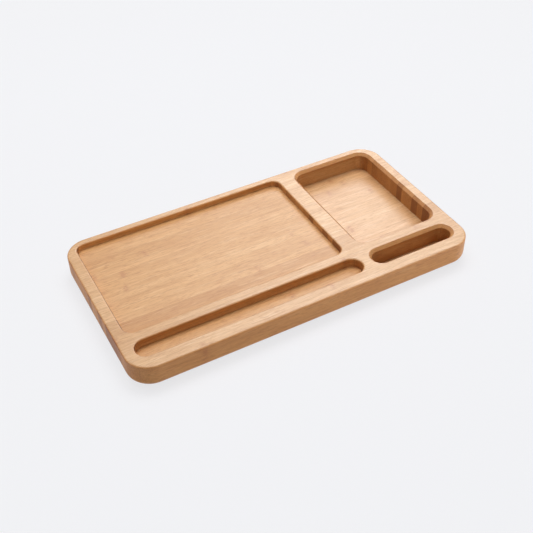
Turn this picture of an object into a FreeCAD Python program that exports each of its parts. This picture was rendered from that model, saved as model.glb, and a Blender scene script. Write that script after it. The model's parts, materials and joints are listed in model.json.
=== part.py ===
import FreeCAD, Part
import os
from collections import namedtuple
from math import acos, cos, tan

# Bamboo valet tray with a wireless phone charger under its phone pocket.
# Millimetres. X runs along the tray, Y from its front edge to its back edge, Z up. The origin is
# on the surface that the feet stand on, under the middle of the tray.

# Tray board, milled from one laminated bamboo panel
tray_length = 267.0
tray_width = 142.0
tray_thickness = 18.0
tray_corner_radius = 17.5
top_edge_round = 1.2
bottom_edge_round = 4.5

# Rims, webs and lands that the cutter leaves standing
left_rim = 8.25
right_rim = 7.25
back_rim = 5.25
pocket_web = 12.5               # between the phone pocket and the key pocket
strip_centre_inset = 18.75      # front edge to the centre line of groove and slot
strip_land = 8.0                # between the pockets and the pen groove
strip_web = 7.5                 # between the pen groove and the clip slot
slot_right_rim = 7.75

# Pockets
phone_pocket_depth = 5.0
phone_pocket_corner = 7.0
key_pocket_length = 70.5
key_pocket_corner = 10.5
pen_groove_width = 16.0
pen_groove_depth = 7.0
clip_slot_length = 71.0
clip_slot_width = 17.5
deep_floor = 3.0                # board left under the key pocket and the clip slot
deep_rim_bevel = 2.2            # rims of the key pocket and the clip slot
shallow_rim_bevel = 0.4         # rims of the phone pocket and the pen groove

# Feet, stuck on the flat underside
foot_diameter = 12.0
foot_height = 2.0
foot_round = 0.8
foot_inset = 18.0               # tray edge to the middle of a foot

# Charger's cavity and its cover, let into the underside
coil_setback = 51.0             # phone pocket's back wall to the middle of the coil
cavity_front_room = 6.25        # ferrite disc to the cavity's front wall
cavity_side_room = 11.0         # circuit board's ends to the cavity's side walls
cavity_headroom = 1.3           # over the USB socket
cavity_corner = 14.0
ledge_width = 3.0               # seat of the cover, all round the cavity
cover_thickness = 2.5
cover_corner = 8.0
cover_gap = 0.25
lip_thickness = 1.5
lip_gap = 0.3
rib_thickness = 1.4
rib_height = 2.6
hub_diameter = 9.0
platform_ribs = 6

# Cover screws, countersunk
cover_screw_diameter = 3.0
cover_screw_length = 9.0
cover_screw_head = 5.6
cover_screw_inset = 5.0
cover_screw_spare = 0.8         # hole left beyond the tip
screw_gap = 0.05
head_sink = 0.1
driver_slot_length = 3.0
driver_slot_width = 0.7
driver_slot_depth = 1.0

# Transmitter coil stack
wire_diameter = 1.0
coil_radius = 21.5              # middle of the wire in the outermost turn
coil_half_turns = 19
turn_pitch = 1.08
coil_gap = 0.2                  # under the tray's charging floor
wire_gap = 0.1
ferrite_thickness = 1.2
ferrite_overhang = 1.0          # beyond the outermost turn
foam_thickness = 1.0
lead_bend = 1.5
lead_drop_run = 8.0             # inner lead's way down into the ferrite's channel
lead_straight_run = 1.5         # from the ferrite's edge to the slope
lead_slope_run = 3.5            # down to the circuit board
lead_pad_run = 2.5              # along its solder pad
inner_lead_x = 3.5
lead_spacing = 4.5

# Circuit board
board_length = 48.0
board_width = 18.0
board_thickness = 1.6
board_standoff = 1.3
board_back_gap = 0.5
board_fixing_inset = 3.5
board_pin_diameter = 2.0
board_pin_gap = 0.1
boss_diameter = 5.0
board_screw_diameter = 2.0
board_screw_length = 4.5
board_screw_head_diameter = 3.8
board_screw_head_height = 1.3
board_screw_head_round = 0.45
board_driver_slot_depth = 0.5

# USB-C socket and the port that reaches it
socket_width = 8.94
socket_height = 3.26
socket_length = 7.35
socket_wall = 0.3
socket_overhang = 1.5           # beyond the board's back edge
tongue_width = 6.7
tongue_thickness = 0.7
tongue_length = 4.6
tongue_recess = 1.0             # its tip inside the shell's mouth
contact_count = 6
contact_pitch = 1.0
contact_width = 0.35
contact_thickness = 0.08
contact_length = 3.6
socket_leg_width = 1.0
socket_leg_gap = 0.1
port_width = 13.5
port_height = 7.0
port_flare = 0.8                # widens the mouth at the tray's back face

# Indicator light
led_x = 13.0                    # from the socket's centre line
led_width = 3.0
led_depth = 1.2
led_height = 2.4
light_guide_diameter = 2.5
light_guide_gap = 0.1

# Components on the board: length, width, height
controller_size = (5.0, 5.0, 0.9)
bridge_size = (6.0, 5.0, 1.1)
choke_size = (6.6, 6.6, 3.0)
resonance_capacitor_size = (3.2, 1.6, 1.6)
input_capacitor_size = (3.2, 2.5, 2.0)
sense_resistor_size = (3.2, 1.6, 0.6)
temperature_sensor_size = (1.6, 0.8, 0.8)
resonance_capacitor_count = 4
input_capacitor_count = 2
component_gap = 0.8
choke_corner = 1.3
dimple_diameter = 1.0           # marks the controller's first pin
dimple_depth = 0.1
dimple_inset = 1.0

# Levels
tray_bottom = foot_height
tray_top = tray_bottom + tray_thickness
phone_floor = tray_top - phone_pocket_depth
cover_inner = tray_bottom + cover_thickness
board_bottom = cover_inner + board_standoff
board_top = board_bottom + board_thickness
socket_level = board_top + socket_height / 2
cavity_ceiling = board_top + socket_height + cavity_headroom
coil_level = cavity_ceiling - coil_gap - wire_diameter / 2
ferrite_top = coil_level - wire_diameter / 2
ferrite_bottom = ferrite_top - ferrite_thickness
platform_top = ferrite_bottom - foam_thickness
crossing_level = ferrite_top - wire_gap - wire_diameter / 2
pad_level = board_top + wire_diameter / 2

# Plan outlines
Outline = namedtuple("Outline", "left right front back radius")

half_length = tray_length / 2
half_width = tray_width / 2
tray_outline = Outline(-half_length, half_length, -half_width, half_width, tray_corner_radius)

strip_centre = strip_centre_inset - half_width
pocket_front = strip_centre + pen_groove_width / 2 + strip_land
pocket_back = half_width - back_rim
key_right = half_length - right_rim
key_left = key_right - key_pocket_length
phone_left = left_rim - half_length
phone_right = key_left - pocket_web
phone_pocket = Outline(phone_left, phone_right, pocket_front, pocket_back, phone_pocket_corner)
key_pocket = Outline(key_left, key_right, pocket_front, pocket_back, key_pocket_corner)

slot_right = half_length - slot_right_rim
slot_left = slot_right - clip_slot_length
clip_slot = Outline(slot_left, slot_right, strip_centre - clip_slot_width / 2,
                    strip_centre + clip_slot_width / 2, clip_slot_width / 2)
pen_groove = Outline(phone_left, slot_left - strip_web, strip_centre - pen_groove_width / 2,
                     strip_centre + pen_groove_width / 2, pen_groove_width / 2)

coil_x = (phone_left + phone_right) / 2
coil_y = pocket_back - coil_setback
platform_radius = coil_radius + wire_diameter / 2
ferrite_radius = platform_radius + ferrite_overhang
slope_start = coil_y + ferrite_radius + lead_straight_run

board_front = slope_start + lead_slope_run / 2
board_back = board_front + board_width
board_left = coil_x - board_length / 2
board_right = coil_x + board_length / 2
socket_front = board_back + socket_overhang
led_centre_x = coil_x + led_x
led_back = board_back - light_guide_gap
light_guide_level = board_top + led_height / 2

cavity = Outline(board_left - cavity_side_room, board_right + cavity_side_room,
                 coil_y - ferrite_radius - cavity_front_room, board_back + board_back_gap,
                 cavity_corner)
cover_recess = Outline(cavity.left - ledge_width, cavity.right + ledge_width,
                       cavity.front - ledge_width, cavity.back + ledge_width, cover_corner)

outer_lead_x = inner_lead_x + lead_spacing


def vector(x, y, z):
    return FreeCAD.Vector(x, y, z)


def inset(outline, distance):
    return Outline(outline.left + distance, outline.right - distance, outline.front + distance,
                   outline.back - distance, outline.radius - distance)


def rounded_wire(outline, level):
    radius = outline.radius
    corners = ((outline.right - radius, outline.front + radius, 270),
               (outline.right - radius, outline.back - radius, 0),
               (outline.left + radius, outline.back - radius, 90),
               (outline.left + radius, outline.front + radius, 180))
    up = vector(0, 0, 1)
    arcs = [Part.makeCircle(radius, vector(x, y, level), up, start, start + 90)
            for x, y, start in corners]
    edges = []
    for arc, following in zip(arcs, arcs[1:] + arcs[:1]):
        edges.append(arc)
        here = arc.valueAt(arc.LastParameter)
        there = following.valueAt(following.FirstParameter)
        if here.distanceToPoint(there) > 1e-6:
            edges.append(Part.makeLine(here, there))
    return Part.Wire(edges)


def prism(outline, low, high):
    face = Part.Face(rounded_wire(outline, low))
    return face.extrude(vector(0, 0, high - low))


def block(left, right, front, back, low, high):
    return Part.makeBox(right - left, back - front, high - low, vector(left, front, low))


def post(x, y, diameter, low, high):
    return Part.makeCylinder(diameter / 2, high - low, vector(x, y, low))


def section_outline(centre_x, level, width, height, radius):
    return Outline(centre_x - width / 2, centre_x + width / 2,
                   level - height / 2, level + height / 2, radius)


def stood_up(shape):
    # What was drawn flat, with Z running forwards, turned so that its section lies in XZ
    return shape.rotate(vector(0, 0, 0), vector(1, 0, 0), 90)


def bar_along_y(centre_x, level, width, height, radius, front, back):
    outline = section_outline(centre_x, level, width, height, radius)
    return stood_up(prism(outline, -back, -front))


def edges_at(shape, level):
    return [edge for edge in shape.Edges
            if all(abs(vertex.Z - level) < 1e-6 for vertex in edge.Vertexes)]


def pocket_cutter(outline, floor, bevel):
    # The outline is the mouth at the top face; below the bevel the walls stand in by its size
    bevel_low = tray_top - bevel
    walls = prism(inset(outline, bevel), floor, tray_top)
    mouth = Part.makeLoft([rounded_wire(inset(outline, bevel), bevel_low),
                           rounded_wire(outline, tray_top)], True, True)
    return walls.fuse(mouth).removeSplitter()


def cover_screw_places():
    return [(x, y) for x in (cover_recess.left + cover_screw_inset,
                             cover_recess.right - cover_screw_inset)
            for y in (cover_recess.front + cover_screw_inset,
                      cover_recess.back - cover_screw_inset)]


def tray_body():
    board = prism(tray_outline, tray_bottom, tray_top)
    board = board.makeFillet(top_edge_round, edges_at(board, tray_top))
    board = board.makeFillet(bottom_edge_round, edges_at(board, tray_bottom))
    cutters = [pocket_cutter(phone_pocket, phone_floor, shallow_rim_bevel),
               pocket_cutter(key_pocket, tray_bottom + deep_floor, deep_rim_bevel),
               pocket_cutter(clip_slot, tray_bottom + deep_floor, deep_rim_bevel),
               pocket_cutter(pen_groove, tray_top - pen_groove_depth, shallow_rim_bevel),
               prism(cover_recess, tray_bottom, cover_inner),
               prism(cavity, cover_inner, cavity_ceiling),
               charging_port(),
               light_guide_bore()]
    for x, y in cover_screw_places():
        tip = tray_bottom + head_sink + cover_screw_length + cover_screw_spare
        cutters.append(post(x, y, cover_screw_diameter + 2 * screw_gap, cover_inner, tip))
    return board.cut(cutters)


def charging_port():
    outline = section_outline(coil_x, socket_level, port_width, port_height, port_height / 2)
    bore = prism(outline, -half_width, -cavity.back)
    mouth = Part.makeLoft([rounded_wire(inset(outline, -port_flare), -half_width),
                           rounded_wire(outline, port_flare - half_width)], True, True)
    return stood_up(bore.fuse(mouth).removeSplitter())


def light_guide_bore():
    diameter = light_guide_diameter + 2 * light_guide_gap
    return bar_along_y(led_centre_x, light_guide_level, diameter, diameter, diameter / 2,
                       cavity.back, half_width)


def foot(side_x, side_y):
    x = side_x * (half_length - foot_inset)
    y = side_y * (half_width - foot_inset)
    disc = post(x, y, foot_diameter, 0, foot_height)
    return disc.makeFillet(foot_round, edges_at(disc, 0))


def base_cover():
    outline = inset(cover_recess, cover_gap)
    plate = prism(outline, tray_bottom, cover_inner)
    pieces = [locating_lip(), coil_platform()] + stiffening_ribs() + board_supports()
    cover = plate.fuse(pieces).removeSplitter()
    holes = [board_screw_hole(x, y) for x, y in board_screw_places()]
    holes += [countersunk_hole(x, y) for x, y in cover_screw_places()]
    return cover.cut(holes)


def locating_lip():
    outer = inset(cavity, lip_gap)
    ring = prism(outer, cover_inner, board_bottom)
    return ring.cut(prism(inset(outer, lip_thickness), cover_inner, board_bottom))


def coil_platform():
    # A ring under the outer turns and a hub, joined by radial ribs, all level on top
    ring = post(coil_x, coil_y, 2 * platform_radius, cover_inner, platform_top)
    inner_radius = platform_radius - rib_thickness
    ring = ring.cut(post(coil_x, coil_y, 2 * inner_radius, cover_inner, platform_top))
    pieces = [post(coil_x, coil_y, hub_diameter, cover_inner, platform_top)]
    for number in range(platform_ribs):
        rib = block(0, inner_radius + rib_thickness / 2, -rib_thickness / 2, rib_thickness / 2,
                    cover_inner, platform_top)
        rib.rotate(vector(0, 0, 0), vector(0, 0, 1), 360.0 * number / platform_ribs)
        rib.translate(vector(coil_x, coil_y, 0))
        pieces.append(rib)
    return ring.fuse(pieces)


def stiffening_ribs():
    # From the platform out to the lip, on the three sides that the board leaves free
    half = rib_thickness / 2
    reach = lip_gap + lip_thickness / 2
    start = platform_radius - half
    top = cover_inner + rib_height
    return [block(cavity.left + reach, coil_x - start, coil_y - half, coil_y + half, cover_inner, top),
            block(coil_x + start, cavity.right - reach, coil_y - half, coil_y + half, cover_inner, top),
            block(coil_x - half, coil_x + half, cavity.front + reach, coil_y - start, cover_inner, top)]


def board_fixing_xs():
    return board_left + board_fixing_inset, board_right - board_fixing_inset


def board_screw_places():
    return [(x, board_front + board_fixing_inset) for x in board_fixing_xs()]


def board_pin_places():
    return [(x, board_back - board_fixing_inset) for x in board_fixing_xs()]


def board_supports():
    supports = []
    for x, y in board_screw_places() + board_pin_places():
        supports.append(post(x, y, boss_diameter, cover_inner, board_bottom))
    for x, y in board_pin_places():
        supports.append(post(x, y, board_pin_diameter, board_bottom, board_top + board_pin_gap))
    return supports


def board_screw_hole(x, y):
    tip = board_top - board_screw_length - screw_gap
    return post(x, y, board_screw_diameter + 2 * screw_gap, tip, board_bottom)


def countersink_depth():
    return (cover_screw_head - cover_screw_diameter) / 2


def countersunk_hole(x, y):
    # Straight for the depth that the head is sunk, then a 45 degree seat, then the clearance hole
    seat_low = tray_bottom + head_sink
    seat_high = seat_low + countersink_depth()
    hole_radius = cover_screw_diameter / 2 + screw_gap
    head_radius = cover_screw_head / 2 + screw_gap
    sink = post(x, y, 2 * head_radius, tray_bottom, seat_low)
    seat = Part.makeCone(head_radius, hole_radius, seat_high - seat_low, vector(x, y, seat_low))
    return sink.fuse([seat, post(x, y, 2 * hole_radius, seat_high, cover_inner)])


def cross_recess(x, y, low, high):
    half_long = driver_slot_length / 2
    half_wide = driver_slot_width / 2
    along = block(x - half_long, x + half_long, y - half_wide, y + half_wide, low, high)
    across = block(x - half_wide, x + half_wide, y - half_long, y + half_long, low, high)
    return along.fuse(across)


def cover_screws():
    screws = []
    low = tray_bottom + head_sink
    for x, y in cover_screw_places():
        head = Part.makeCone(cover_screw_head / 2, cover_screw_diameter / 2, countersink_depth(),
                             vector(x, y, low))
        tip_length = cover_screw_diameter / 2
        shank_high = low + cover_screw_length - tip_length
        shank = post(x, y, cover_screw_diameter, low + countersink_depth(), shank_high)
        tip = Part.makeCone(cover_screw_diameter / 2, 0, tip_length, vector(x, y, shank_high))
        recess = cross_recess(x, y, low, low + driver_slot_depth)
        screws.append(head.fuse([shank, tip]).cut(recess))
    return Part.Compound(screws)


def board_screws():
    screws = []
    head_top = board_top + board_screw_head_height
    for x, y in board_screw_places():
        head = post(x, y, board_screw_head_diameter, board_top, head_top)
        head = head.makeFillet(board_screw_head_round, edges_at(head, head_top))
        shank = post(x, y, board_screw_diameter, board_top - board_screw_length, board_top)
        recess = cross_recess(x, y, head_top - board_driver_slot_depth, head_top)
        screws.append(head.fuse(shank).cut(recess))
    return Part.Compound(screws)


def circuit_board():
    # Its back corners follow the cavity's
    board = prism(inset(cavity, board_back_gap), board_bottom, board_top)
    board = board.common(block(board_left, board_right, board_front, board_back,
                               board_bottom, board_top))
    holes = [post(x, y, board_screw_diameter + 2 * screw_gap, board_bottom, board_top)
             for x, y in board_screw_places()]
    holes += [post(x, y, board_pin_diameter + 2 * board_pin_gap, board_bottom, board_top)
              for x, y in board_pin_places()]
    holes += socket_legs(socket_leg_gap)
    return board.cut(holes)


def socket_legs(gap):
    # Four tabs bent down from the shell's sides through the board
    legs = []
    for side in (-1, 1):
        middle = coil_x + side * (socket_width - socket_wall) / 2
        for y in (socket_front - socket_length + socket_leg_width, board_back - 2 * socket_leg_width):
            legs.append(block(middle - socket_wall / 2 - gap, middle + socket_wall / 2 + gap,
                              y - socket_leg_width / 2 - gap, y + socket_leg_width / 2 + gap,
                              board_bottom, board_top))
    return legs


def usb_socket_shell():
    back = socket_front
    front = socket_front - socket_length
    outer = bar_along_y(coil_x, socket_level, socket_width, socket_height, socket_height / 2,
                        front, back)
    bore_height = socket_height - 2 * socket_wall
    bore = bar_along_y(coil_x, socket_level, socket_width - 2 * socket_wall, bore_height,
                       bore_height / 2, front + socket_wall, back)
    legs = [leg.fuse(leg_root(leg)) for leg in socket_legs(0)]
    return outer.cut(bore).fuse(legs).removeSplitter()


def leg_root(leg):
    # Carries a leg up to the straight-sided middle of the shell
    box = leg.BoundBox
    return block(box.XMin, box.XMax, box.YMin, box.YMax, board_top, socket_level)


def usb_socket_tongue():
    bore_height = socket_height - 2 * socket_wall
    base_front = socket_front - socket_length + socket_wall
    base_back = socket_front - tongue_recess - tongue_length
    base = bar_along_y(coil_x, socket_level, socket_width - 2 * socket_wall, bore_height,
                       bore_height / 2, base_front, base_back)
    half_wide = tongue_width / 2
    half_thick = tongue_thickness / 2
    tongue = block(coil_x - half_wide, coil_x + half_wide, base_back, base_back + tongue_length,
                   socket_level - half_thick, socket_level + half_thick)
    return base.fuse(tongue).removeSplitter()


def usb_socket_contacts():
    base_back = socket_front - tongue_recess - tongue_length
    first_x = coil_x - contact_pitch * (contact_count - 1) / 2
    strips = []
    for number in range(contact_count):
        left = first_x + number * contact_pitch - contact_width / 2
        for low in (socket_level + tongue_thickness / 2,
                    socket_level - tongue_thickness / 2 - contact_thickness):
            strips.append(block(left, left + contact_width, base_back, base_back + contact_length,
                                low, low + contact_thickness))
    return Part.Compound(strips)


def spiral_edges():
    # Half circles that shrink by half a pitch each, so the turns run on smoothly
    edges = []
    radius = coil_radius
    side = 1
    start_y = coil_y + coil_radius
    for number in range(coil_half_turns):
        end_y = start_y - side * 2 * radius
        middle = vector(coil_x - side * radius, (start_y + end_y) / 2, coil_level)
        edges.append(Part.Arc(vector(coil_x, start_y, coil_level), middle,
                              vector(coil_x, end_y, coil_level)).toShape())
        start_y = end_y
        side = -side
        radius -= turn_pitch / 2
    return edges, start_y


def bent_path(points, bend):
    # Straight runs through the points, with a tangent arc of the bend radius at each inner one
    edges = []
    here = points[0]
    for before, corner, after in zip(points, points[1:], points[2:]):
        way_in = (corner - before).normalize()
        way_out = (after - corner).normalize()
        half_turn = acos(way_in.dot(way_out)) / 2
        cut_back = bend * tan(half_turn)
        inward = (way_out - way_in).normalize()
        centre = corner + inward * (bend / cos(half_turn))
        arc_start = corner - way_in * cut_back
        arc_end = corner + way_out * cut_back
        edges.append(Part.makeLine(here, arc_start))
        edges.append(Part.Arc(arc_start, centre - inward * bend, arc_end).toShape())
        here = arc_end
    edges.append(Part.makeLine(here, points[-1]))
    return edges


def lead_to_board(x, level):
    # Out past the coil, down the slope and along the solder pad
    pad_start = slope_start + lead_slope_run
    return [vector(x, slope_start, level), vector(x, pad_start, pad_level),
            vector(x, pad_start + lead_pad_run, pad_level)]


def transmitter_coil():
    turns, inner_y = spiral_edges()
    outer_x = coil_x + outer_lead_x
    outer_y = coil_y + coil_radius
    outer_points = lead_to_board(outer_x, coil_level)[::-1]
    outer_points += [vector(outer_x, outer_y, coil_level), vector(coil_x, outer_y, coil_level)]
    inner_x = coil_x + inner_lead_x
    inner_points = [vector(coil_x, inner_y, coil_level), vector(inner_x, inner_y, coil_level),
                    vector(inner_x, coil_y - lead_drop_run / 2, coil_level),
                    vector(inner_x, coil_y + lead_drop_run / 2, crossing_level)]
    inner_points += lead_to_board(inner_x, crossing_level)
    path = Part.Wire(bent_path(outer_points, lead_bend) + turns + bent_path(inner_points, lead_bend))
    section = Part.makeCircle(wire_diameter / 2, outer_points[0], vector(0, 1, 0))
    return path.makePipeShell([Part.Wire(section)], True, False)


def ferrite_disc():
    disc = post(coil_x, coil_y, 2 * ferrite_radius, ferrite_bottom, ferrite_top)
    half_wide = wire_diameter / 2 + wire_gap
    lead_x = coil_x + inner_lead_x
    channel_front = coil_y - lead_drop_run / 2 - half_wide
    channel = block(lead_x - half_wide, lead_x + half_wide, channel_front,
                    coil_y + ferrite_radius, ferrite_bottom, ferrite_top)
    return disc.cut(channel)


def foam_pad():
    return post(coil_x, coil_y, 2 * platform_radius, platform_top, ferrite_bottom)


def component(x, y, size):
    length, width, height = size
    return block(x - length / 2, x + length / 2, y - width / 2, y + width / 2,
                 board_top, board_top + height)


def controller_chip():
    x = coil_x - socket_width / 2 - choke_size[0] - 2 * component_gap - controller_size[0] / 2
    y = (board_front + board_back) / 2
    length, width, height = controller_size
    dimple = post(x - length / 2 + dimple_inset, y + width / 2 - dimple_inset, dimple_diameter,
                  board_top + height - dimple_depth, board_top + height)
    return component(x, y, controller_size).cut(dimple)


def input_choke():
    length, width = choke_size[:2]
    x = coil_x - socket_width / 2 - component_gap - length / 2
    y = board_back - component_gap - width / 2
    body = component(x, y, choke_size)
    upright = [edge for edge in body.Edges
               if edge.tangentAt(edge.FirstParameter).cross(vector(0, 0, 1)).Length < 1e-6]
    return body.makeFillet(choke_corner, upright)


def bridge_centre_x(side):
    return coil_x + side * (bridge_size[0] + component_gap) / 2 - bridge_size[0]


def bridge_y():
    return board_front + component_gap + bridge_size[1] / 2


def bridge_chip(side):
    return component(bridge_centre_x(side), bridge_y(), bridge_size)


def resonance_capacitors():
    length, width = resonance_capacitor_size[:2]
    x = coil_x + outer_lead_x + wire_diameter + component_gap + length / 2
    first_y = board_front + component_gap + width / 2
    step = width + component_gap
    return Part.Compound([component(x, first_y + number * step, resonance_capacitor_size)
                          for number in range(resonance_capacitor_count)])


def input_capacitors():
    length, width = input_capacitor_size[:2]
    x = coil_x + socket_width / 2 + component_gap + length / 2
    last_y = board_back - 2 * component_gap - width / 2
    step = width + component_gap
    return Part.Compound([component(x, last_y - number * step, input_capacitor_size)
                          for number in range(input_capacitor_count)])


def sense_resistor():
    x = bridge_centre_x(-1) - bridge_size[0] / 2 - component_gap - sense_resistor_size[0] / 2
    return component(x, bridge_y(), sense_resistor_size)


def temperature_sensor():
    x = bridge_centre_x(-1) - bridge_size[0] / 2 - component_gap - sense_resistor_size[0] / 2
    y = bridge_y() + sense_resistor_size[1] / 2 + component_gap + temperature_sensor_size[1] / 2
    return component(x, y, temperature_sensor_size)


def status_led():
    return block(led_centre_x - led_width / 2, led_centre_x + led_width / 2,
                 led_back - led_depth, led_back, board_top, board_top + led_height)


def light_guide():
    return bar_along_y(led_centre_x, light_guide_level, light_guide_diameter, light_guide_diameter,
                       light_guide_diameter / 2, board_back, half_width)


sub_parts = {
    "tray_body": tray_body(),
    "base_cover": base_cover(),
    "cover_screws": cover_screws(),
    "circuit_board": circuit_board(),
    "board_screws": board_screws(),
    "foam_pad": foam_pad(),
    "ferrite_disc": ferrite_disc(),
    "transmitter_coil": transmitter_coil(),
    "usb_socket_shell": usb_socket_shell(),
    "usb_socket_tongue": usb_socket_tongue(),
    "usb_socket_contacts": usb_socket_contacts(),
    "controller_chip": controller_chip(),
    "bridge_chip_left": bridge_chip(-1),
    "bridge_chip_right": bridge_chip(1),
    "input_choke": input_choke(),
    "resonance_capacitors": resonance_capacitors(),
    "input_capacitors": input_capacitors(),
    "sense_resistor": sense_resistor(),
    "temperature_sensor": temperature_sensor(),
    "status_led": status_led(),
    "light_guide": light_guide(),
}
for side_y, end_name in ((-1, "front"), (1, "back")):
    for side_x, side_name in ((-1, "left"), (1, "right")):
        sub_parts["foot_" + end_name + "_" + side_name] = foot(side_x, side_y)

os.makedirs("parts", exist_ok=True)
for name, shape in sub_parts.items():
    shape.exportStep("parts/" + name + ".step")
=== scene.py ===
import json
import math
import bmesh
import bpy
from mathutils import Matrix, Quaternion, Vector


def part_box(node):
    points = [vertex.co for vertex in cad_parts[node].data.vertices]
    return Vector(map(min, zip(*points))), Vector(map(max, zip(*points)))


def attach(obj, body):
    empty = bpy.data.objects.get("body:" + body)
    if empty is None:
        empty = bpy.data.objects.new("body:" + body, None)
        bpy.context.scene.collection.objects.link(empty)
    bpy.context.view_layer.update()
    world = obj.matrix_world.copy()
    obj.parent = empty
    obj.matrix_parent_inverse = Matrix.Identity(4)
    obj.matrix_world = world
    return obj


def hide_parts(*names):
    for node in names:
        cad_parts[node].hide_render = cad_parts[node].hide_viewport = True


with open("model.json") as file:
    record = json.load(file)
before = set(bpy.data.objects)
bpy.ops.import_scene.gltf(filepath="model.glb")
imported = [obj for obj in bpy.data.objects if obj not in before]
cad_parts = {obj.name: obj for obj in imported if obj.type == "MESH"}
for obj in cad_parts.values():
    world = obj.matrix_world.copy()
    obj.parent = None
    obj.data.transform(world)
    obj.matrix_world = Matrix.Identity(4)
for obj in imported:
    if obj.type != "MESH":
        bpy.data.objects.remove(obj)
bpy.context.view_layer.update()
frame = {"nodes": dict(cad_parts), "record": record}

scene = bpy.context.scene
mm = 0.001
weldReach = mm / 1000
sharpAngle = math.radians(35)


# Colours are written as a paint chart gives them, 0 to 255
def paint(red, green, blue):
    def linear(value):
        share = value / 255
        return share / 12.92 if share <= 0.04045 else ((share + 0.055) / 1.055) ** 2.4
    return (linear(red), linear(green), linear(blue), 1.0)


def linkTo(tree, source, target):
    tree.links.new(source, target)


def setInput(tree, socket, value):
    if isinstance(value, bpy.types.NodeSocket):
        linkTo(tree, value, socket)
    else:
        socket.default_value = value


def addNode(tree, kind, inputs=None, **settings):
    node = tree.nodes.new(kind)
    for name, value in settings.items():
        setattr(node, name, value)
    for name, value in (inputs or {}).items():
        setInput(tree, node.inputs[name], value)
    return node


def calc(tree, operation, first, second=0.5, third=None):
    # An operation on one value ignores the second
    node = addNode(tree, "ShaderNodeMath", {0: first, 1: second}, operation=operation)
    if third is not None:
        setInput(tree, node.inputs[2], third)
    return node.outputs[0]


def product(tree, value, *others):
    for other in others:
        value = calc(tree, "MULTIPLY", value, other)
    return value


def fade(tree, value, low, high, fromLow=0.0, fromHigh=1.0):
    # A smooth step from fromLow at low to fromHigh at high
    node = addNode(tree, "ShaderNodeMapRange", {"Value": value, "From Min": low, "From Max": high,
                                                "To Min": fromLow, "To Max": fromHigh},
                   interpolation_type="SMOOTHSTEP")
    return node.outputs["Result"]


def tint(tree, factor, below, above, blend="MIX"):
    node = addNode(tree, "ShaderNodeMix", data_type="RGBA", blend_type=blend, clamp_factor=True)
    setInput(tree, node.inputs[0], factor)
    setInput(tree, node.inputs[6], below)
    setInput(tree, node.inputs[7], above)
    return node.outputs[2]


def ramp(tree, value, stops):
    node = addNode(tree, "ShaderNodeValToRGB", {"Fac": value})
    band = node.color_ramp
    for place, colour in stops[1:-1]:
        band.elements.new(place)
    for element, (place, colour) in zip(band.elements, stops):
        element.position = place
        element.color = colour
    return node.outputs["Color"]


def inMillimetres(tree):
    spot = addNode(tree, "ShaderNodeTexCoord").outputs["Object"]
    node = addNode(tree, "ShaderNodeVectorMath", {0: spot}, operation="SCALE")
    node.inputs["Scale"].default_value = 1 / mm
    return node.outputs["Vector"]


def moved(tree, spot, shift):
    return addNode(tree, "ShaderNodeVectorMath", {0: spot, 1: shift}, operation="ADD").outputs[0]


def stretched(tree, spot, length, width):
    node = addNode(tree, "ShaderNodeVectorMath",
                   {0: spot, 1: (1 / length, 1 / width, 1 / width)}, operation="MULTIPLY")
    return node.outputs["Vector"]


def noise(tree, spot, length, width, detail, roughness=0.55):
    # Marks of this length along the tray and this width across it
    node = addNode(tree, "ShaderNodeTexNoise", {"Vector": stretched(tree, spot, length, width),
                                                "Scale": 1.0, "Detail": detail,
                                                "Roughness": roughness})
    return node.outputs["Fac"]


def newGroup(name, inputs, outputs):
    # Inputs come with their usual values, and one of four numbers is a colour
    tree = bpy.data.node_groups.new(name, "ShaderNodeTree")
    for label, value in inputs.items():
        kind = "NodeSocketFloat" if isinstance(value, float) else "NodeSocketColor"
        socket = tree.interface.new_socket(label, in_out="INPUT", socket_type=kind)
        socket.default_value = value
    for label in outputs:
        kind = "NodeSocketColor" if label == "Colour" else "NodeSocketFloat"
        tree.interface.new_socket(label, in_out="OUTPUT", socket_type=kind)
    given = tree.nodes.new("NodeGroupInput").outputs
    return tree, given, tree.nodes.new("NodeGroupOutput").inputs


def newMaterial(name, shaderValues, group, groupValues, relief, strength):
    # The group gives colour, roughness and height; the rest is set on the shader itself
    material = bpy.data.materials.new(name)
    material.use_nodes = True
    tree = material.node_tree
    shader = tree.nodes["Principled BSDF"]
    for label, value in shaderValues.items():
        shader.inputs[label].default_value = value
    skin = addNode(tree, "ShaderNodeGroup", node_tree=group)
    for label, value in groupValues.items():
        setInput(tree, skin.inputs[label], value)
    bump = addNode(tree, "ShaderNodeBump", {"Height": skin.outputs["Height"],
                                            "Distance": relief * mm, "Strength": strength})
    linkTo(tree, skin.outputs["Colour"], shader.inputs["Base Color"])
    linkTo(tree, skin.outputs["Roughness"], shader.inputs["Roughness"])
    linkTo(tree, bump.outputs["Normal"], shader.inputs["Normal"])
    return material, shader, skin, bump


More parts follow.
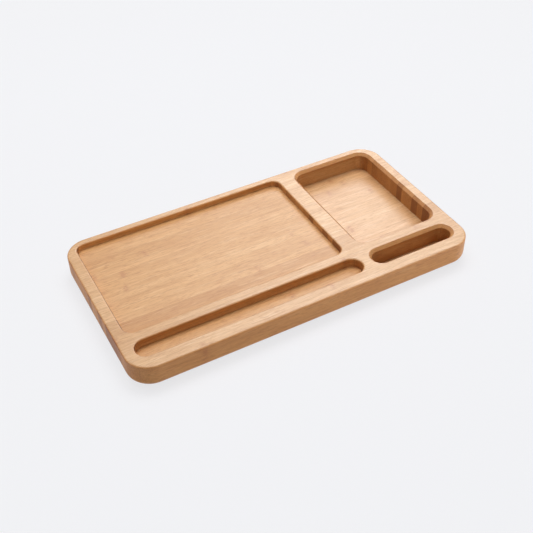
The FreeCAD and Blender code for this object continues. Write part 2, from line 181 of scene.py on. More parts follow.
# Laminated bamboo: strips on edge, glued side by side across the tray, with lengths in mm.
# A mask says where it starts and ends, and then, if not 0 and 1, how strong it is there
bamboo = {
    "stripWidth": 6.8, "stripChange": 0.5, "firstStrip": 2.6,
    "bandStrips": 2.6, "bandMask": (0.25, 0.75), "bandShare": 0.5,
    "tones": ((0.0, paint(208, 155, 100)), (0.3, paint(222, 171, 115)),
              (0.65, paint(231, 182, 128)), (1.0, paint(239, 194, 142))),

    # Noise: length and width of a mark, detail, roughness
    "wander": (70.0, 14.0, 1.0, 0.55), "wanderBy": (7.0, 5.0), "shiftBy": (900.0, 90.0),
    "clouds": (70.0, 7.0, 2.0, 0.5), "cloudMask": (0.35, 0.75, 0.0, 0.30),
    "streaks": (26.0, 1.3, 3.0, 0.62), "streakMask": (0.50, 0.72, 0.0, 0.42),
    "streakTone": paint(192, 134, 80),
    "paleMask": (0.48, 0.28, 0.0, 0.34), "paleTone": paint(246, 212, 168),
    "fibres": (6.0, 0.5, 2.0, 0.6), "fibreMask": (0.49, 0.68, 0.0, 0.46),
    "bundles": (40.0, 0.8), "packing": (-0.5, 0.5, 0.16, 0.4), "bundleCore": 0.45,
    "bundleOnTop": 0.24, "bundleMoreOnSide": 0.26, "bundleTone": paint(178, 112, 52),

    "knuckleGap": 235.0, "curls": (4.0, 1.3, 2.0, 0.55), "curlBy": 5.0,
    "knuckleMask": (2.6, 0.2), "knuckleBreaks": (0.42, 0.60, 0.25), "knuckleShare": 0.48,
    "knuckleTone": paint(178, 104, 58),
    "haloMask": (9.0, 1.0), "haloBreaks": (0.44, 0.60), "haloShare": 0.38,
    "glueMask": (0.22, 0.02), "glueShare": 0.30, "glueTone": paint(160, 108, 66),

    "endFacing": (0.45, 0.95), "sideFacing": (0.95, 0.6),
    "endThirst": (0.75, 0.1, 0.35, 1.0), "endTone": paint(186, 164, 138),
    "shelterReach": 25.0, "shelterMask": (0.96, 0.8),
    # Painted shade: the tones below tint side faces, walls, deep walls, corners, pocket floors,
    # left rims and edges
    "sideShadeTone": paint(254, 228, 192), "wallShadeTone": paint(246, 248, 236),
    "deepWallShadeTone": paint(255, 252, 234), "deepMask": (18.0, 14.5),
    "creviceShadeTone": paint(204, 182, 146), "creviceShadeMask": (0.36, 0.14),
    "floorTone": paint(252, 243, 225), "floorBelow": (19.0, 18.0), "floorAbove": (9.0, 11.0),
    "rimShadeTone": paint(190, 180, 160), "rimShadeTop": (19.9, 19.5), "rimShadeFoot": (18.5, 19.1),
    "rimShadeRight": (51.0, 50.0), "rimShadeFacing": (0.2, 0.5),
    "edgeShadeTone": paint(226, 200, 168), "edgeShadeReach": 0.9, "edgeShadeMask": (0.985, 0.8),

    "roughness": 0.46, "endRoughness": 0.12, "streakRoughness": 0.3, "floorRoughness": 0.05,
    "specular": 0.45, "coat": 0.22, "floorCoat": 0.16, "coatRoughness": 0.4,
    "fibreHeight": 0.6, "bundleDepth": 0.35, "glueDepth": 0.5, "relief": 0.04, "bump": 0.6,
    "sandedRadius": 0.5, "samples": 8,
}


def bambooGroup():
    tree, given, result = newGroup("laminatedBamboo", {
        "Strip Width": bamboo["stripWidth"], "Strip Change": bamboo["stripChange"],
        "Knuckle Gap": bamboo["knuckleGap"]}, ("Colour", "Roughness", "Coat", "Height"))
    spot = inMillimetres(tree)
    parts = addNode(tree, "ShaderNodeSeparateXYZ", {0: spot}).outputs

    def masked(value, mask):
        return fade(tree, value, *bamboo[mask])

    def soaked(factor, below, tone):
        return tint(tree, factor, below, bamboo[tone], "MULTIPLY")

    def sheltered(reach, inside):
        return addNode(tree, "ShaderNodeAmbientOcclusion", {"Distance": bamboo[reach] * mm},
                       samples=bamboo["samples"], only_local=True, inside=inside).outputs["AO"]

    # Which strip this is, and how far across it
    along = calc(tree, "ADD", calc(tree, "DIVIDE", parts["Y"], given["Strip Width"]),
                 bamboo["firstStrip"])
    strip, edge = (addNode(tree, "ShaderNodeTexVoronoi",
                           {"W": along, "Scale": 1.0, "Randomness": given["Strip Change"]},
                           voronoi_dimensions="1D", feature=feature).outputs
                   for feature in ("F1", "DISTANCE_TO_EDGE"))
    across = calc(tree, "SUBTRACT", along, strip["W"])
    stripRandom = addNode(tree, "ShaderNodeSeparateColor", {0: strip["Color"]}).outputs
    fromGlue = product(tree, edge["Distance"], given["Strip Width"])

    # Neighbours often come from one culm, so their tones run in bands
    band = addNode(tree, "ShaderNodeTexNoise", {
        "W": calc(tree, "DIVIDE", strip["W"], bamboo["bandStrips"]), "Scale": 1.0, "Detail": 0.0},
        noise_dimensions="1D").outputs["Fac"]
    tone = addNode(tree, "ShaderNodeMix", data_type="FLOAT")
    setInput(tree, tone.inputs[0], bamboo["bandShare"])
    setInput(tree, tone.inputs[2], stripRandom["Red"])
    setInput(tree, tone.inputs[3], masked(band, "bandMask"))

    # Each strip has fibres of its own, so its place shifts along the culm by a random length
    shiftAlong, shiftUp = bamboo["shiftBy"]
    shift = addNode(tree, "ShaderNodeCombineXYZ",
                    {"X": product(tree, stripRandom["Green"], shiftAlong),
                     "Z": product(tree, stripRandom["Blue"], shiftUp)}).outputs[0]
    own = moved(tree, spot, shift)
    wander = noise(tree, own, *bamboo["wander"])
    wanderAcross, wanderUp = bamboo["wanderBy"]
    drift = addNode(tree, "ShaderNodeCombineXYZ",
                    {"Y": product(tree, wander, wanderAcross),
                     "Z": product(tree, wander, wanderUp)}).outputs[0]
    grainSpot = moved(tree, own, drift)
    cloud, streak, fibre = (noise(tree, grainSpot, *bamboo[layer])
                            for layer in ("clouds", "streaks", "fibres"))
    bundle = addNode(tree, "ShaderNodeTexVoronoi",
                     {"Vector": stretched(tree, grainSpot, *bamboo["bundles"]),
                      "Scale": 1.0}).outputs["Distance"]

    # Top, side or end: a strip shows its fibres differently on each
    normal = addNode(tree, "ShaderNodeTexCoord").outputs["Normal"]
    facing = addNode(tree, "ShaderNodeSeparateXYZ", {0: normal}).outputs
    endGrain = masked(calc(tree, "ABSOLUTE", facing["X"]), "endFacing")
    side = masked(calc(tree, "ABSOLUTE", facing["Z"]), "sideFacing")

    # Bundles are packed closer towards the strip's outer skin
    packing = masked(across, "packing")
    bundleMask = fade(tree, bundle, packing, product(tree, packing, bamboo["bundleCore"]))

    colour = ramp(tree, tone.outputs[0], bamboo["tones"])
    for layer, mask, mark in ((cloud, "cloudMask", "streakTone"),
                              (streak, "streakMask", "streakTone"),
                              (streak, "paleMask", "paleTone"),
                              (fibre, "fibreMask", "bundleTone")):
        colour = tint(tree, masked(layer, mask), colour, bamboo[mark])
    bundleShare = calc(tree, "MULTIPLY_ADD", side, bamboo["bundleMoreOnSide"],
                       bamboo["bundleOnTop"])
    colour = tint(tree, product(tree, bundleMask, bundleShare), colour, bamboo["bundleTone"])

    # Knuckles: a broken brown line across one strip, fainter where fibres curl beside it
    curl = noise(tree, own, *bamboo["curls"])
    ownAlong = addNode(tree, "ShaderNodeSeparateXYZ", {0: own}).outputs["X"]
    place = calc(tree, "FRACT", calc(tree, "DIVIDE", ownAlong, given["Knuckle Gap"]))
    fromKnuckle = product(tree, calc(tree, "ABSOLUTE", calc(tree, "SUBTRACT", place, 0.5)),
                          given["Knuckle Gap"])
    wavy = calc(tree, "ADD", fromKnuckle,
                product(tree, calc(tree, "SUBTRACT", curl, 0.5), bamboo["curlBy"]))
    knuckle = product(tree, masked(wavy, "knuckleMask"), masked(fibre, "knuckleBreaks"))
    halo = product(tree, masked(wavy, "haloMask"), masked(curl, "haloBreaks"))
    glue = masked(fromGlue, "glueMask")
    for mark, share, markTone in ((halo, "haloShare", "streakTone"),
                                  (knuckle, "knuckleShare", "knuckleTone"),
                                  (glue, "glueShare", "glueTone")):
        colour = tint(tree, product(tree, mark, bamboo[share]), colour, bamboo[markTone])

    # Cut ends drink more oil than the faces, and more in some strips than in others
    thirst = masked(stripRandom["Red"], "endThirst")
    colour = soaked(product(tree, endGrain, thirst), colour, "endTone")

    # Painted shade: side faces are tinted darker and more saturated, the pockets' walls a little
    # more,
    # # the deep walls get a lighter tint of their own, and sheltered corners and creases are darker
    # still
    openness = sheltered("shelterReach", False)
    wall = product(tree, side, masked(openness, "shelterMask"))
    level = parts["Z"]
    deep = product(tree, wall, masked(level, "deepMask"), calc(tree, "SUBTRACT", 1.0, endGrain))
    colour = soaked(calc(tree, "SUBTRACT", side, deep), colour, "sideShadeTone")
    colour = soaked(calc(tree, "SUBTRACT", wall, deep), colour, "wallShadeTone")
    colour = soaked(deep, colour, "deepWallShadeTone")
    colour = soaked(masked(openness, "creviceShadeMask"), colour, "creviceShadeTone")

    # Painted shade: the shallow pockets' floors are tinted a little darker and warmer, and a dark
    # band is
    # # painted along the top of the rims that face +X, the pockets' left rims
    floor = product(tree, masked(level, "floorBelow"), masked(level, "floorAbove"),
                    calc(tree, "SUBTRACT", 1.0, side))
    colour = soaked(floor, colour, "floorTone")
    rimShade = product(tree, masked(level, "rimShadeTop"), masked(parts["X"], "rimShadeRight"),
                     masked(level, "rimShadeFoot"), masked(facing["X"], "rimShadeFacing"))
    colour = soaked(rimShade, colour, "rimShadeTone")

    # Painted shade: a thin darker line along the convex edges
    colour = soaked(masked(sheltered("edgeShadeReach", True), "edgeShadeMask"), colour, "edgeShadeTone")

    # Only the sanded faces are rubbed to a sheen; the cutter leaves the floors duller
    rough = calc(tree, "ADD", bamboo["roughness"], product(tree, endGrain, bamboo["endRoughness"]))
    rough = calc(tree, "ADD", rough, product(tree, calc(tree, "SUBTRACT", streak, 0.5),
                                             bamboo["streakRoughness"]))
    rough = calc(tree, "ADD", rough, product(tree, floor, bamboo["floorRoughness"]))
    coat = fade(tree, floor, 0.0, 1.0, bamboo["coat"], bamboo["floorCoat"])
    height = calc(tree, "SUBTRACT", product(tree, fibre, bamboo["fibreHeight"]),
                  product(tree, bundleMask, bamboo["bundleDepth"]))
    height = calc(tree, "SUBTRACT", height, product(tree, glue, bamboo["glueDepth"]))
    for label, value in (("Colour", colour), ("Roughness", rough), ("Coat", coat),
                         ("Height", height)):
        linkTo(tree, value, result[label])
    return tree


def oiledBamboo():
    material, shader, grain, bump = newMaterial(
        "oiledBamboo", {"Specular IOR Level": bamboo["specular"],
                        "Coat Roughness": bamboo["coatRoughness"]},
        bambooGroup(), {}, bamboo["relief"], bamboo["bump"])
    tree = material.node_tree
    linkTo(tree, grain.outputs["Coat"], shader.inputs["Coat Weight"])
    # The cutter's sharp edges are sanded just soft
    sanded = addNode(tree, "ShaderNodeBevel", {"Radius": bamboo["sandedRadius"] * mm},
                     samples=bamboo["samples"])
    linkTo(tree, sanded.outputs["Normal"], bump.inputs["Normal"])
    return material


# Plastics, silicone and ceramics: fine moulding grain with the odd smooth rub mark
moulding = {"rubs": (16.0, 9.0, 3.0, 0.6), "rubMask": (0.52, 0.78), "rubShare": 0.35,
            "rubGloss": 0.12, "bump": 1.0}
mouldedFinishes = {
    # slot: name, tone, worn tone, grain in mm, roughness, relief in mm
    "cover_plastic": ("coverPlastic", (52, 52, 54), (66, 66, 68), 0.45, 0.62, 0.03),
    "foot_silicone": ("footSilicone", (60, 60, 62), (82, 82, 84), 0.8, 0.8, 0.02),
    "board_laminate": ("boardLaminate", (24, 92, 58), (38, 112, 74), 1.2, 0.35, 0.02),
    "foam": ("foamTape", (58, 58, 60), (72, 72, 74), 0.5, 0.9, 0.1),
    "ferrite": ("sinteredFerrite", (62, 62, 66), (84, 84, 88), 0.25, 0.7, 0.02),
    "socket_plastic": ("socketPlastic", (34, 34, 36), (46, 46, 48), 0.2, 0.5, 0.01),
    "chip_plastic": ("chipPlastic", (40, 40, 42), (58, 58, 60), 0.15, 0.55, 0.01),
    "choke_ferrite": ("chokeBody", (92, 92, 96), (112, 112, 116), 0.2, 0.6, 0.02),
    "capacitor_ceramic": ("capacitorBody", (182, 150, 116), (204, 174, 140), 0.2, 0.5, 0.01),
    "light_plastic": ("lightGuide", (226, 232, 232), (238, 242, 242), 0.6, 0.18, 0.01),
    "led_plastic": ("lampBody", (236, 234, 220), (246, 244, 234), 0.3, 0.4, 0.01),
}


def mouldedGroup():
    tree, given, result = newGroup("mouldedSkin", {
        "Grain": 0.35, "Tone": paint(60, 60, 62), "Worn Tone": paint(90, 90, 92),
        "Roughness": 0.6}, ("Colour", "Roughness", "Height"))
    spot = inMillimetres(tree)
    cells = addNode(tree, "ShaderNodeTexVoronoi", {
        "Vector": spot, "Scale": calc(tree, "DIVIDE", 1.0, given["Grain"])}).outputs["Distance"]
    mask = fade(tree, noise(tree, spot, *moulding["rubs"]), *moulding["rubMask"])
    colour = tint(tree, product(tree, mask, moulding["rubShare"]), given["Tone"],
                  given["Worn Tone"])
    rough = calc(tree, "SUBTRACT", given["Roughness"], product(tree, mask, moulding["rubGloss"]))
    linkTo(tree, colour, result["Colour"])
    linkTo(tree, rough, result["Roughness"])
    linkTo(tree, cells, result["Height"])
    return tree


# Metals: drawn or brushed lines under a dull haze
brushing = {"lines": (3.0, 0.12, 2.0), "haze": (1.8, 1.8, 3.0), "hazeMask": (0.4, 0.75, 0.0, 0.6),
            "hazeRoughness": 0.2, "bump": 0.5}
metalFinishes = {
    # slot: name, tone, dull tone, roughness, relief in mm
    "screw_steel": ("screwSteel", (176, 178, 182), (122, 124, 130), 0.3, 0.01),
    "coil_copper": ("coilCopper", (206, 128, 84), (160, 90, 54), 0.35, 0.05),
    "socket_steel": ("socketSteel", (206, 206, 208), (150, 150, 154), 0.22, 0.004),
    "contact_gold": ("contactGold", (232, 190, 108), (196, 150, 76), 0.2, 0.003),
}


def brushedGroup():
    tree, given, result = newGroup("brushedSkin", {
        "Tone": paint(204, 204, 206), "Dull Tone": paint(170, 170, 172),
        "Roughness": 0.3}, ("Colour", "Roughness", "Height"))
    spot = inMillimetres(tree)
    lines = noise(tree, spot, *brushing["lines"])
    haze = noise(tree, spot, *brushing["haze"])
    colour = tint(tree, fade(tree, haze, *brushing["hazeMask"]), given["Tone"], given["Dull Tone"])
    rough = calc(tree, "ADD", given["Roughness"], product(tree, haze, brushing["hazeRoughness"]))
    linkTo(tree, colour, result["Colour"])
    linkTo(tree, rough, result["Roughness"])
    linkTo(tree, lines, result["Height"])
    return tree


finishes = {"bamboo": oiledBamboo()}
mouldedSkin = mouldedGroup()
for slot, (name, tone, wornTone, grain, roughness, relief) in mouldedFinishes.items():
    finishes[slot] = newMaterial(name, {}, mouldedSkin, {
        "Grain": grain, "Tone": paint(*tone), "Worn Tone": paint(*wornTone),
        "Roughness": roughness}, relief, moulding["bump"])[0]
brushedSkin = brushedGroup()
for slot, (name, tone, dullTone, roughness, relief) in metalFinishes.items():
    finishes[slot] = newMaterial(name, {"Metallic": 1.0}, brushedSkin, {
        "Tone": paint(*tone), "Dull Tone": paint(*dullTone),
        "Roughness": roughness}, relief, brushing["bump"])[0]

slotOf = {part["node"]: part["material_slot"] for part in frame["record"]["subparts"]}
for name, node in frame["nodes"].items():
    node.data.materials.clear()
    node.data.materials.append(finishes[slotOf[name]])
print("materials on", len(frame["nodes"]), "parts")


def newPiece(name, mesh):
    piece = bpy.data.objects.new(name, mesh)
    scene.collection.objects.link(piece)
    return piece


def plainMesh(piece):
    # What the modifiers make becomes the piece's own mesh
    graph = bpy.context.evaluated_depsgraph_get()
    mesh = bpy.data.meshes.new_from_object(piece.evaluated_get(graph))
    piece.modifiers.clear()
    piece.data = mesh
    return mesh


def finishMesh(piece):
    mesh = plainMesh(piece)
    mesh.shade_smooth()
    mesh.set_sharp_from_angle(angle=sharpAngle)


def cutAway(piece, cutter):
    modifier = piece.modifiers.new("cutAway", "BOOLEAN")
    modifier.operation, modifier.solver, modifier.object = "DIFFERENCE", "EXACT", cutter


def meshOf(shape, name):
    mesh = bpy.data.meshes.new(name)
    shape.to_mesh(mesh)
    shape.free()
    return mesh


def closedMesh(shape, name):
    bmesh.ops.remove_doubles(shape, verts=shape.verts, dist=weldReach)
    bmesh.ops.recalc_face_normals(shape, faces=shape.faces)
    return meshOf(shape, name)


def joinLoops(shape, loops):
    # Walls between loops that lie one above another
    for lower, upper in zip(loops, loops[1:]):
        for step in range(len(lower)):
            following = (step + 1) % len(lower)
            shape.faces.new((lower[step], lower[following], upper[following], upper[step]))


def closedStack(shape, loops, name):
    # Both ends get one face each
    joinLoops(shape, loops)
    shape.faces.new(loops[0][::-1])
    shape.faces.new(loops[-1])
    return closedMesh(shape, name)


# Tray board: the phone pocket and the pen groove get sanded, rounded rims
rims = {
    # pocket: its walls' left, right, front and back in mm, and their corner radius
    "phonePocket": (-124.85, 42.85, -35.85, 65.35, 6.6),
    "penGroove": (-124.85, 46.85, -59.85, -44.65, 7.6),
    "topLevel": 20.0, "round": 1.4, "arcSteps": 9, "cornerSteps": 24, "creaseAngle": 20.0,
    "flatFaceWeight": 95,
}


def roundedLoop(shape, left, right, front, back, radius, level):
    corners = ((right - radius, front + radius, -90), (right - radius, back - radius, 0),
               (left + radius, back - radius, 90), (left + radius, front + radius, 180))
    loop = []
    for x, y, start in corners:
        for step in range(rims["cornerSteps"] + 1):
            turn = math.radians(start + 90 * step / rims["cornerSteps"])
            loop.append(shape.verts.new(((x + radius * math.cos(turn)) * mm,
                                         (y + radius * math.sin(turn)) * mm, level * mm)))
    return loop


def rimCutter(pocket):
    # Starts inside the walls, flares out in a quarter round and ends above the top face
    left, right, front, back, radius = rims[pocket]
    size, top = rims["round"], rims["topLevel"]
    crease = size * (1 - math.cos(math.radians(rims["creaseAngle"])))
    profile = [(-size / 2, top - 2 * size)]
    for step in range(rims["arcSteps"] + 1):
        turn = math.radians(90 * step / rims["arcSteps"])
        profile.append((size * (1 - math.cos(turn)) - crease, top - size * (1 - math.sin(turn))))
    mouth = profile.pop()[0]
    profile += [(mouth, top + size / 100), (mouth, top + size)]
    shape = bmesh.new()
    loops = [roundedLoop(shape, left - out, right + out, front - out, back + out, radius + out,
                         level) for out, level in profile]
    return newPiece("rimCutter", closedStack(shape, loops, "rimCutter"))


def trayBoard():
    shape = bmesh.new()
    shape.from_mesh(frame["nodes"]["tray_body"].data)
    bmesh.ops.remove_doubles(shape, verts=shape.verts, dist=weldReach)
    mesh = meshOf(shape, "trayBoard")
    mesh.attributes.remove(mesh.attributes["custom_normal"])
    piece = newPiece("trayBoard", mesh)
    cutters = [rimCutter(pocket) for pocket in ("phonePocket", "penGroove")]
    for cutter in cutters:
        cutAway(piece, cutter)
    finishMesh(piece)
    for cutter in cutters:
        bpy.data.objects.remove(cutter)
    # Large flat faces keep their own direction beside the small ones of the rounds
    even = piece.modifiers.new("evenNormals", "WEIGHTED_NORMAL")
    even.keep_sharp, even.weight = True, rims["flatFaceWeight"]
    mesh = plainMesh(piece)
    mesh.materials.clear()
    mesh.materials.append(finishes["bamboo"])
    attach(piece, "root")
    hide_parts("tray_body")


trayBoard()
print("tray's rims rounded")


# Small pieces: each is shaped once, then set at its places by a node tree
def turnedMesh(name, outline, steps):
    # Turns a profile of (radius, height) in mm about Z; it starts and ends on the axis
    shape = bmesh.new()
    turns = [2 * math.pi * step / steps for step in range(steps)]
    loops = [[shape.verts.new((radius * mm * math.cos(turn), radius * mm * math.sin(turn),
                               height * mm)) for turn in turns]
             for radius, height in outline[1:-1]]
    joinLoops(shape, loops)
    for loop, end in ((loops[0][::-1], outline[0]), (loops[-1], outline[-1])):
        tip = shape.verts.new((0, 0, end[1] * mm))
        for corner, following in zip(loop, loop[1:] + loop[:1]):
            shape.faces.new((corner, following, tip))
    return closedMesh(shape, name)


def arc(centreRadius, centreHeight, radius, start, end, steps):
    # Points of a rounded edge in a turned profile, angles in degrees
    turns = [math.radians(start + (end - start) * step / steps) for step in range(steps + 1)]
    return [(centreRadius + radius * math.cos(turn), centreHeight + radius * math.sin(turn))
            for turn in turns]


def setAtPointsTree():
    # Stands a piece on every point, turned about Z by a random angle
    tree = bpy.data.node_groups.new("setAtPoints", "GeometryNodeTree")
    made = {}
    for label, kind in (("Geometry", "NodeSocketGeometry"), ("Piece", "NodeSocketObject"),
                        ("Widest Turn", "NodeSocketFloat"), ("Seed", "NodeSocketInt"),
                        ("Material", "NodeSocketMaterial")):
        socket = tree.interface.new_socket(label, in_out="INPUT", socket_type=kind)
        made[label] = socket.identifier
    tree.interface.new_socket("Geometry", in_out="OUTPUT", socket_type="NodeSocketGeometry")
    given = tree.nodes.new("NodeGroupInput").outputs
    result = tree.nodes.new("NodeGroupOutput").inputs
    piece = addNode(tree, "GeometryNodeObjectInfo", {"Object": given["Piece"]}).outputs["Geometry"]
    angle = addNode(tree, "FunctionNodeRandomValue", {
        "Min": 0.0, "Max": given["Widest Turn"], "Seed": given["Seed"]}, data_type="FLOAT")
    angle = [socket for socket in angle.outputs if socket.type == "VALUE" and socket.enabled][0]
    turn = addNode(tree, "ShaderNodeCombineXYZ", {"Z": angle}).outputs[0]
    turn = addNode(tree, "FunctionNodeEulerToRotation", {0: turn}).outputs[0]
    placed = addNode(tree, "GeometryNodeInstanceOnPoints", {
        "Points": given["Geometry"], "Instance": piece, "Rotation": turn}).outputs["Instances"]
    real = addNode(tree, "GeometryNodeRealizeInstances", {"Geometry": placed}).outputs["Geometry"]
    painted = addNode(tree, "GeometryNodeSetMaterial",
                      {"Geometry": real, "Material": given["Material"]})
    linkTo(tree, painted.outputs["Geometry"], result["Geometry"])
    return tree, made


setAtPoints, setAtPointsInputs = setAtPointsTree()


def placeSet(name, shape, places, slot, replaced, turn=0.0, seed=1):
    pattern = bpy.data.objects.new(name + "Pattern", shape)
    points = bpy.data.meshes.new(name)
    points.from_pydata(places, [], [])
    piece = newPiece(name, points)
    modifier = piece.modifiers.new("setAtPoints", "NODES")
    modifier.node_group = setAtPoints
    for label, value in (("Piece", pattern), ("Widest Turn", turn), ("Seed", seed),
                         ("Material", finishes[slot])):
        modifier[setAtPointsInputs[label]] = value
    finishMesh(piece)
    bpy.data.objects.remove(pattern)
    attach(piece, "root")
    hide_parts(*replaced)


# Foot: a turned silicone button, dished underneath, with a fine ring moulded round the dish
feet = {"radius": 6.0, "height": 2.0, "edgeRound": 0.8, "edgeSteps": 8, "dishRadius": 3.6,
        "dishDepth": 0.35, "ringRound": 0.25, "ringSteps": 3, "ringFoot": 0.3,
        "nibRadius": 0.5, "nibHeight": 0.12, "steps": 72}


def footShape():
    radius, height, edge = feet["radius"], feet["height"], feet["edgeRound"]
    dish, depth, ring = feet["dishRadius"], feet["dishDepth"], feet["ringRound"]
    outline = [(0, depth - feet["nibHeight"]), (feet["nibRadius"], depth - feet["nibHeight"]),
               (feet["nibRadius"], depth)]
    outline += arc(dish, depth - ring, ring, 90, 45, feet["ringSteps"])
    outline += [(dish + depth, ring * feet["ringFoot"]), (dish + depth + ring, 0)]
    outline += arc(radius - edge, edge, edge, -90, 0, feet["edgeSteps"])
    outline += [(radius, height), (0, height)]
    return turnedMesh("foot", outline, feet["steps"])


footNodes = [name for name in frame["nodes"] if name.startswith("foot_")]
footPlaces = []
for name in footNodes:
    low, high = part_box(name)
    footPlaces.append(((low[0] + high[0]) / 2, (low[1] + high[1]) / 2, low[2]))
placeSet("feet", footShape(), footPlaces, "foot_silicone", footNodes)
print("feet turned")

# Cover screw: countersunk, with a tapered cross recess and a rolled thread, head down
coverScrews = {
    "headRadius": 2.8, "headEdge": 0.18, "length": 9.0, "shankRadius": 1.5, "rootRadius": 1.12,
    "threadPitch": 0.9, "threadStart": 1.9, "tipLength": 1.5, "steps": 48,
    # shares of the pitch where the root ends, the crest starts and the crest ends
    "threadShares": (0.45, 0.68, 0.77),
    "recessLong": 1.55, "recessWide": 0.36, "recessDeep": 1.05, "recessTaper": 0.45,
    "barTaper": 0.65, "recessWeld": 0.005, "widestTurn": math.pi, "seed": 4,
}


def screwOutline():
    head, edge = coverScrews["headRadius"], coverScrews["headEdge"]
    shank, root = coverScrews["shankRadius"], coverScrews["rootRadius"]
    pitch, length = coverScrews["threadPitch"], coverScrews["length"]
    rootEnd, crestStart, crestEnd = coverScrews["threadShares"]
    outline = [(0, 0), (head - edge, 0), (head, edge), (shank, edge + head - shank)]
    level = coverScrews["threadStart"]
    while level + pitch < length - coverScrews["tipLength"]:
        outline += [(root, level), (root, level + rootEnd * pitch),
                    (shank, level + crestStart * pitch), (shank, level + crestEnd * pitch)]
        level += pitch
    return outline + [(root, level), (root, length - coverScrews["tipLength"]), (0, length)]


def recessCutter():
    # A cross that narrows as it goes in
    shape = bmesh.new()
    long, wide, deep = (coverScrews[key] * mm for key in ("recessLong", "recessWide", "recessDeep"))
    loops = []
    ends = ((1, 1, -deep), (coverScrews["recessTaper"], coverScrews["barTaper"], deep))
    for longShare, wideShare, level in ends:
        tip, side = long * longShare, wide * wideShare
        cross = ((tip, side), (side, side), (side, tip))
        corners = [(x * math.cos(turn) - y * math.sin(turn),
                    x * math.sin(turn) + y * math.cos(turn))
                   for turn in (0, math.pi / 2, math.pi, 3 * math.pi / 2) for x, y in cross]
        loops.append([shape.verts.new((x, y, level)) for x, y in corners])
    return newPiece("recessCutter", closedStack(shape, loops, "recessCutter"))


def screwShape():
    body = newPiece("screwBlank", turnedMesh("screwBlank", screwOutline(), coverScrews["steps"]))
    cutter = recessCutter()
    cutAway(body, cutter)
    finishMesh(body)
    mesh = body.data
    bpy.data.objects.remove(body)
    bpy.data.objects.remove(cutter)
    # Faces with many corners are split evenly, so that no sliver is left
    shape = bmesh.new()
    shape.from_mesh(mesh)
    bmesh.ops.remove_doubles(shape, verts=shape.verts, dist=coverScrews["recessWeld"] * mm)
    bmesh.ops.triangulate(shape, faces=[face for face in shape.faces if len(face.verts) > 4],
                          ngon_method="BEAUTY")
    shape.to_mesh(mesh)
    shape.free()
    return mesh


def cornersOf(node, insetBy):
    # The four corners of a node's box, drawn in, at its lowest level
    low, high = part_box(node)
    return [(x, y, low[2]) for x in (low[0] + insetBy, high[0] - insetBy)
            for y in (low[1] + insetBy, high[1] - insetBy)]


placeSet("coverScrews", screwShape(), cornersOf("cover_screws", coverScrews["headRadius"] * mm),
         "screw_steel", ["cover_screws"], turn=coverScrews["widestTurn"], seed=coverScrews["seed"])
print("cover screws driven")


# Floor, lights and camera. The floor glows but for the share of it that takes shade, and
# further off it is one with the backdrop
stageSetup = {
    "floorSize": 12.0, "floorTone": paint(243, 243, 245), "floorShade": 0.18, "floorGain": 1.17,
    "shadeReach": (0.3, 0.8), "bounceTone": (0.36, 0.34, 0.31, 1),
    "worldTone": (0.86, 0.96, 1.1, 1), "worldFill": 0.25,
}


def mixShaders(tree, factor, first, second):
    node = addNode(tree, "ShaderNodeMixShader", {0: factor})
    linkTo(tree, first, node.inputs[1])
    linkTo(tree, second, node.inputs[2])
    return node.outputs[0]


def cameraOnly(tree, seen, unseen):
    # The first shader for camera, mirror and glass rays, the second for light that bounces
    path = addNode(tree, "ShaderNodeLightPath").outputs
    direct = calc(tree, "MAXIMUM", path["Is Camera Ray"], path["Is Glossy Ray"])
    direct = calc(tree, "MAXIMUM", direct, path["Is Transmission Ray"])
    return mixShaders(tree, direct, unseen, seen)


def paleFloor():
    material = bpy.data.materials.new("paleFloor")
    material.use_nodes = True
    tree = material.node_tree
    tree.nodes.remove(tree.nodes["Principled BSDF"])
    tone, share = stageSetup["floorTone"], stageSetup["floorShade"]
    lit = share * stageSetup["floorGain"]
    glow = addNode(tree, "ShaderNodeEmission", {"Color": tone, "Strength": 1 - share}).outputs[0]
    shade = addNode(tree, "ShaderNodeBsdfDiffuse",
                    {"Color": (tone[0] * lit, tone[1] * lit, tone[2] * lit, 1)}).outputs[0]
    near = addNode(tree, "ShaderNodeAddShader", {0: glow, 1: shade}).outputs[0]
    far = addNode(tree, "ShaderNodeEmission", {"Color": tone}).outputs[0]
    spot = addNode(tree, "ShaderNodeTexCoord").outputs["Object"]
    away = addNode(tree, "ShaderNodeVectorMath", {0: spot}, operation="LENGTH").outputs["Value"]
    seen = mixShaders(tree, fade(tree, away, *stageSetup["shadeReach"]), near, far)
    unseen = addNode(tree, "ShaderNodeBsdfDiffuse", {"Color": stageSetup["bounceTone"]}).outputs[0]
    # From underneath the floor is clear, so that the feet and the cover show
    below = addNode(tree, "ShaderNodeBsdfTransparent").outputs[0]
    backfacing = addNode(tree, "ShaderNodeNewGeometry").outputs["Backfacing"]
    sided = mixShaders(tree, backfacing, cameraOnly(tree, seen, unseen), below)
    linkTo(tree, sided, tree.nodes["Material Output"].inputs["Surface"])
    return material


def buildFloor():
    half = stageSetup["floorSize"] / 2
    mesh = bpy.data.meshes.new("floor")
    mesh.from_pydata([(-half, -half, 0), (half, -half, 0), (half, half, 0), (-half, half, 0)], [],
                     [(0, 1, 2, 3)])
    mesh.materials.append(paleFloor())
    floor = newPiece("floor", mesh)


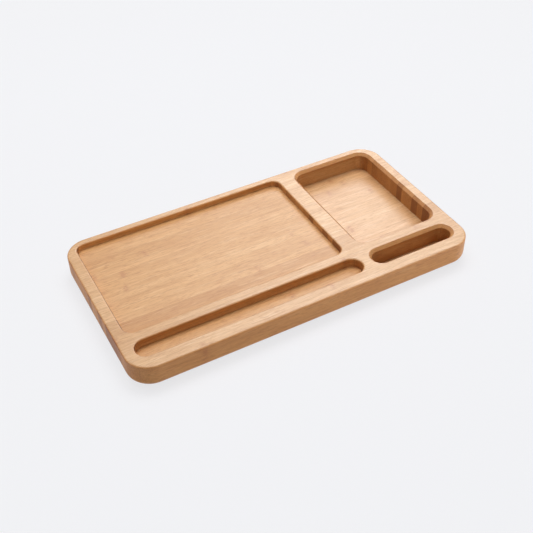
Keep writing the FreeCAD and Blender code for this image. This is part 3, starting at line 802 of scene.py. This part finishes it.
def buildWorld():
    world = bpy.data.worlds.new("studio")
    world.use_nodes = True
    tree = world.node_tree
    seen = addNode(tree, "ShaderNodeBackground", {"Color": stageSetup["floorTone"],
                                                  "Strength": 1.0}).outputs[0]
    unseen = addNode(tree, "ShaderNodeBackground", {"Color": stageSetup["worldTone"],
                                                    "Strength": stageSetup["worldFill"]}).outputs[0]
    linkTo(tree, cameraOnly(tree, seen, unseen), tree.nodes["World Output"].inputs["Surface"])
    scene.world = world


lamps = {
    # name: spot and size in metres, watts, tone, and whether it only shows in the gloss;
    # the cards stand on the floor
    "keySoftbox": ((0.42, 0.28, 1.42), (0.75, 0.7), 8.6, (1.0, 0.99, 0.98), False),
    "sheenSoftbox": ((0.98, 1.35, 1.35), (1.0, 0.9), 25.8, (1.0, 0.99, 0.98), True),
    "topSoftbox": ((-0.1, 0.4, 1.4), (0.8, 0.8), 7.1, (0.98, 0.99, 1.0), False),
    "frontCard": ((0.66, -0.60, 0.024), (0.4, 0.044), 2.6, (1.0, 0.98, 0.95), False),
    "leftCard": ((-0.85, 0.05, 0.024), (0.4, 0.044), 1.15, (1.0, 0.96, 0.88), False),
}


def buildLamps():
    for name, (spot, size, watts, tone, onlyGloss) in lamps.items():
        light = bpy.data.lights.new(name, "AREA")
        light.shape = "RECTANGLE"
        light.size, light.size_y = size
        light.energy = watts
        light.color = tone
        lamp = newPiece(name, light)
        lamp.location = spot
        lamp.rotation_euler = (-Vector(spot)).to_track_quat("-Z", "Y").to_euler()
        lamp.visible_camera = False
        lamp.visible_diffuse = not onlyGloss


# Metres, degrees, and millimetres for the lens and its film
cameraSetup = {"spot": (-0.22124, -0.41737, 0.41676), "heading": 27.740, "downward": 41.646,
               "roll": -1.294, "lens": 57.21, "film": 36.0, "nearest": 0.01}


def buildCamera():
    data = bpy.data.cameras.new("camera")
    data.lens = cameraSetup["lens"]
    data.sensor_width = cameraSetup["film"]
    data.clip_start = cameraSetup["nearest"]
    camera = newPiece("camera", data)
    camera.rotation_mode = "QUATERNION"
    camera.rotation_quaternion = (
        Quaternion((0, 0, 1), -math.radians(cameraSetup["heading"]))
        @ Quaternion((1, 0, 0), math.radians(90 - cameraSetup["downward"]))
        @ Quaternion((0, 0, 1), math.radians(cameraSetup["roll"])))
    camera.location = cameraSetup["spot"]
    scene.camera = camera


buildFloor()
buildWorld()
buildLamps()
buildCamera()
scene.view_settings.view_transform = "Standard"
print("stage, lamps and camera set")
